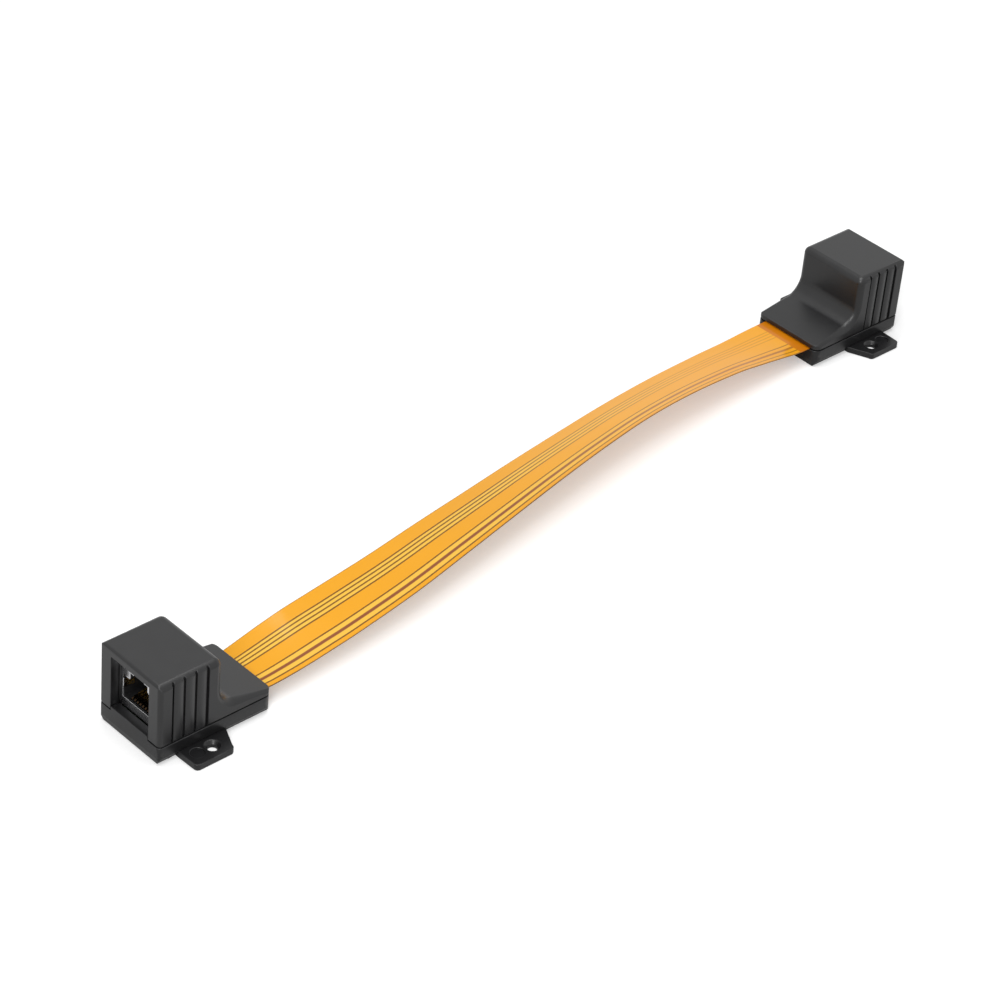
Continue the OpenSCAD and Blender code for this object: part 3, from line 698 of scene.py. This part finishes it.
# %% Ribbon film
drift = blend_colors(tree, texture.outputs["Shade"], (0.94, 0.92, 0.88, 1), white)
film = blend_colors(tree, 1.0, film, drift, how="MULTIPLY")
tree.links.new(film, shader.inputs["Base Color"])
tree.links.new(spread(tree, texture.outputs["Height"], 0.30, 0.38), shader.inputs["Roughness"])
shader.inputs["Specular IOR Level"].default_value = 0.15
shader.inputs["Coat Weight"].default_value = 0.35
shader.inputs["Coat Roughness"].default_value = 0.1
sunk = calculate(tree, "SUBTRACT", 1.0, line_mask)
add_bump(tree, shader, sunk, depth=0.02 * MM, strength=0.4)
ribbon.data.materials.append(copper_film)
print("lines on the film:", len(gaps))

# %% [markdown]
# ## Cover screws
# Two small screws hold each cover from below. A profile is spun into a pan head with a shank, then
# the head's flat is cut along the arms of a cross, and the cut faces are pushed in for the driver.

# %% Screw body
head_radius, head_height, head_round = 1.6 * MM, 1.0 * MM, 0.3 * MM
corner_share = 0.3
shank_radius, tip_length = 0.9 * MM, 0.4 * MM
tip_radius = 0.5 * shank_radius
same_place = 0.001 * MM


def spin_screw(bm, x, y, low, high):
    corner = corner_share * head_round
    profile = [
        (0, low), (head_radius - head_round, low), (head_radius - corner, low + corner),
        (head_radius, low + head_round), (head_radius, low + head_height), (shank_radius, low + head_height),
        (shank_radius, high - tip_length), (tip_radius, high), (0, high),
    ]
    verts = [bm.verts.new((x + r, y, z)) for r, z in profile]
    edges = [bm.edges.new(pair) for pair in zip(verts, verts[1:])]
    bmesh.ops.spin(
        bm, geom=verts + edges, cent=(x, y, 0), axis=(0, 0, 1), angle=math.tau, steps=32, use_merge=True
    )
    bmesh.ops.remove_doubles(bm, verts=bm.verts[:], dist=same_place)
    bmesh.ops.recalc_face_normals(bm, faces=bm.faces[:])


# %% Cross recess
arm_width, arm_reach, arm_depth = 0.28 * MM, 0.95 * MM, 0.55 * MM
arm_taper = 0.6


def flat_faces(bm, x, y, low):
    middles = [(face, face.calc_center_median()) for face in bm.faces]
    level = [(face, middle) for face, middle in middles if abs(middle.z - low) < 10 * same_place]
    return [face for face, middle in level if (middle.xy - Vector((x, y))).length < head_radius]


def in_cross(face, x, y):
    middle = face.calc_center_median()
    near, far = sorted((abs(middle.x - x), abs(middle.y - y)))
    return near < arm_width and far < arm_reach


def cut_recess(bm, x, y, low):
    for axis in (Vector((1, 0, 0)), Vector((0, 1, 0))):
        for at in (-arm_reach, -arm_width, arm_width, arm_reach):
            flat = flat_faces(bm, x, y, low)
            around = dict.fromkeys(part for face in flat for part in (*face.verts, *face.edges, face))
            middle = Vector((x, y, low)) + axis * at
            bmesh.ops.bisect_plane(
                bm, geom=list(around), dist=0.5 * same_place, plane_co=middle, plane_no=axis
            )
    cross = [face for face in flat_faces(bm, x, y, low) if in_cross(face, x, y)]
    pushed = bmesh.ops.extrude_face_region(bm, geom=cross)["geom"]
    bmesh.ops.delete(bm, geom=cross, context="FACES_ONLY")
    for vert in (part for part in pushed if isinstance(part, bmesh.types.BMVert)):
        inward = (vert.co - Vector((x, y, low))) * arm_taper
        vert.co = Vector((x + inward.x, y + inward.y, low + arm_depth))


# %% Cover screws
screw_sharp_angle = math.radians(35)


def make_screws(end):
    low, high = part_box(f"{end}_screws")
    bm = bmesh.new()
    middle_x = (low.x + high.x) / 2
    for y in (low.y + head_radius, high.y - head_radius):
        spin_screw(bm, middle_x, y, low.z, high.z)
        cut_recess(bm, middle_x, y, low.z)
    bmesh.ops.recalc_face_normals(bm, faces=bm.faces[:])
    for face in bm.faces:
        face.smooth = True
    sort_by_place(bm)
    mesh = bpy.data.meshes.new(f"{end}_cover_screws")
    bm.to_mesh(mesh)
    bm.free()
    mesh.set_sharp_from_angle(angle=screw_sharp_angle)
    piece = bpy.data.objects.new(f"{end}_cover_screws", mesh)
    scene.collection.objects.link(piece)
    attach(piece, "root")
    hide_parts(f"{end}_screws")
    print(piece.name, "faces:", len(mesh.polygons))
    return piece


screw_zinc, tree, shader, texture = start_finish("screw_zinc", grain=5.0, mottle=0.7)
shade = blend_colors(tree, texture.outputs["Shade"], linear(150, 150, 152), linear(190, 190, 192))
tree.links.new(shade, shader.inputs["Base Color"])
tree.links.new(spread(tree, texture.outputs["Height"], 0.28, 0.44), shader.inputs["Roughness"])
shader.inputs["Metallic"].default_value = 1.0
add_bump(tree, shader, texture.outputs["Height"], depth=0.006 * MM, strength=0.3)
for end in ENDS:
    make_screws(end).data.materials.append(screw_zinc)

# %% [markdown]
# ## Floor, world and lamps
# The picture is a cut-out on white. The floor is a pale matte sheet that still takes the shadows,
# and for the camera it is lifted to white, more so where it is far from the lamps. It lies a hair
# under the feet, so that the two don't flicker. The world is white for the camera and mirror-like
# reflections. Light Path tells those rays apart from the rays that light things, so the object
# isn't overlit. A big soft lamp hangs above, and a tall one stands on the camera's side.

# %% Floor
floor_half, floor_drop = 3.0, 0.05 * MM
near_reach, far_reach = 0.3, 1.2
near_lift, far_lift = 0.36, 1.0

bm = bmesh.new()
bmesh.ops.create_grid(bm, x_segments=8, y_segments=8, size=floor_half)
bmesh.ops.translate(bm, verts=bm.verts[:], vec=(0, 0, -floor_drop))
floor_mesh = bpy.data.meshes.new("studio_floor")
bm.to_mesh(floor_mesh)
bm.free()
studio_floor = bpy.data.objects.new("studio_floor", floor_mesh)
scene.collection.objects.link(studio_floor)


def seen_rays(tree, others=()):
    rays = tree.nodes.new("ShaderNodeLightPath")
    seen = rays.outputs["Is Camera Ray"]
    for kind in others:
        seen = calculate(tree, "MAXIMUM", seen, rays.outputs[kind])
    return seen


floor_white = bpy.data.materials.new("floor_white")
floor_white.use_nodes = True
tree = floor_white.node_tree
shader = tree.nodes["Principled BSDF"]
shader.inputs["Base Color"].default_value = (0.75, 0.75, 0.75, 1)
shader.inputs["Roughness"].default_value = 0.9
shader.inputs["Specular IOR Level"].default_value = 0.1
shader.inputs["Emission Color"].default_value = (1, 1, 1, 1)
place = tree.nodes.new("ShaderNodeTexCoord")
distance = tree.nodes.new("ShaderNodeVectorMath")
distance.operation = "LENGTH"
tree.links.new(place.outputs["Object"], distance.inputs[0])
lift = tree.nodes.new("ShaderNodeMapRange")
lift.inputs["From Min"].default_value = near_reach
lift.inputs["From Max"].default_value = far_reach
lift.inputs["To Min"].default_value = near_lift
lift.inputs["To Max"].default_value = far_lift
tree.links.new(distance.outputs["Value"], lift.inputs["Value"])
seen_lift = calculate(tree, "MULTIPLY", lift.outputs["Result"], seen_rays(tree))
tree.links.new(seen_lift, shader.inputs["Emission Strength"])
floor_mesh.materials.append(floor_white)
print("floor in metres:", 2 * floor_half)

# %% World and lamps
studio_world = bpy.data.worlds.new("studio_world")
scene.world = studio_world
studio_world.use_nodes = True
tree = studio_world.node_tree
backdrop = tree.nodes["Background"]
backdrop.inputs["Color"].default_value = (1, 1, 1, 1)
mirrored = ("Is Glossy Ray", "Is Transmission Ray")
world_light, world_seen = 0.35, 1.0
strength = spread(tree, seen_rays(tree, mirrored), world_light, world_seen)
tree.links.new(strength, backdrop.inputs["Strength"])


def soft_lamp(name, place, aim, size, power):
    lamp = bpy.data.lights.new(name, "AREA")
    lamp.shape = "RECTANGLE"
    lamp.size, lamp.size_y = size
    lamp.energy = power
    stand = bpy.data.objects.new(name, lamp)
    scene.collection.objects.link(stand)
    turn = (Vector(aim) - Vector(place)).to_track_quat("-Z", "Y").to_matrix().to_4x4()
    stand.matrix_world = Matrix.Translation(Vector(place)) @ turn
    return stand


soft_lamp("overhead_softbox", place=(-0.05, 0.0, 1.0), aim=(0, 0, 0), size=(0.7, 0.7), power=6.0)
soft_lamp("side_softbox", place=(-0.66, -0.44, 0.62), aim=(0, 0, 0.01), size=(0.25, 0.6), power=4.0)
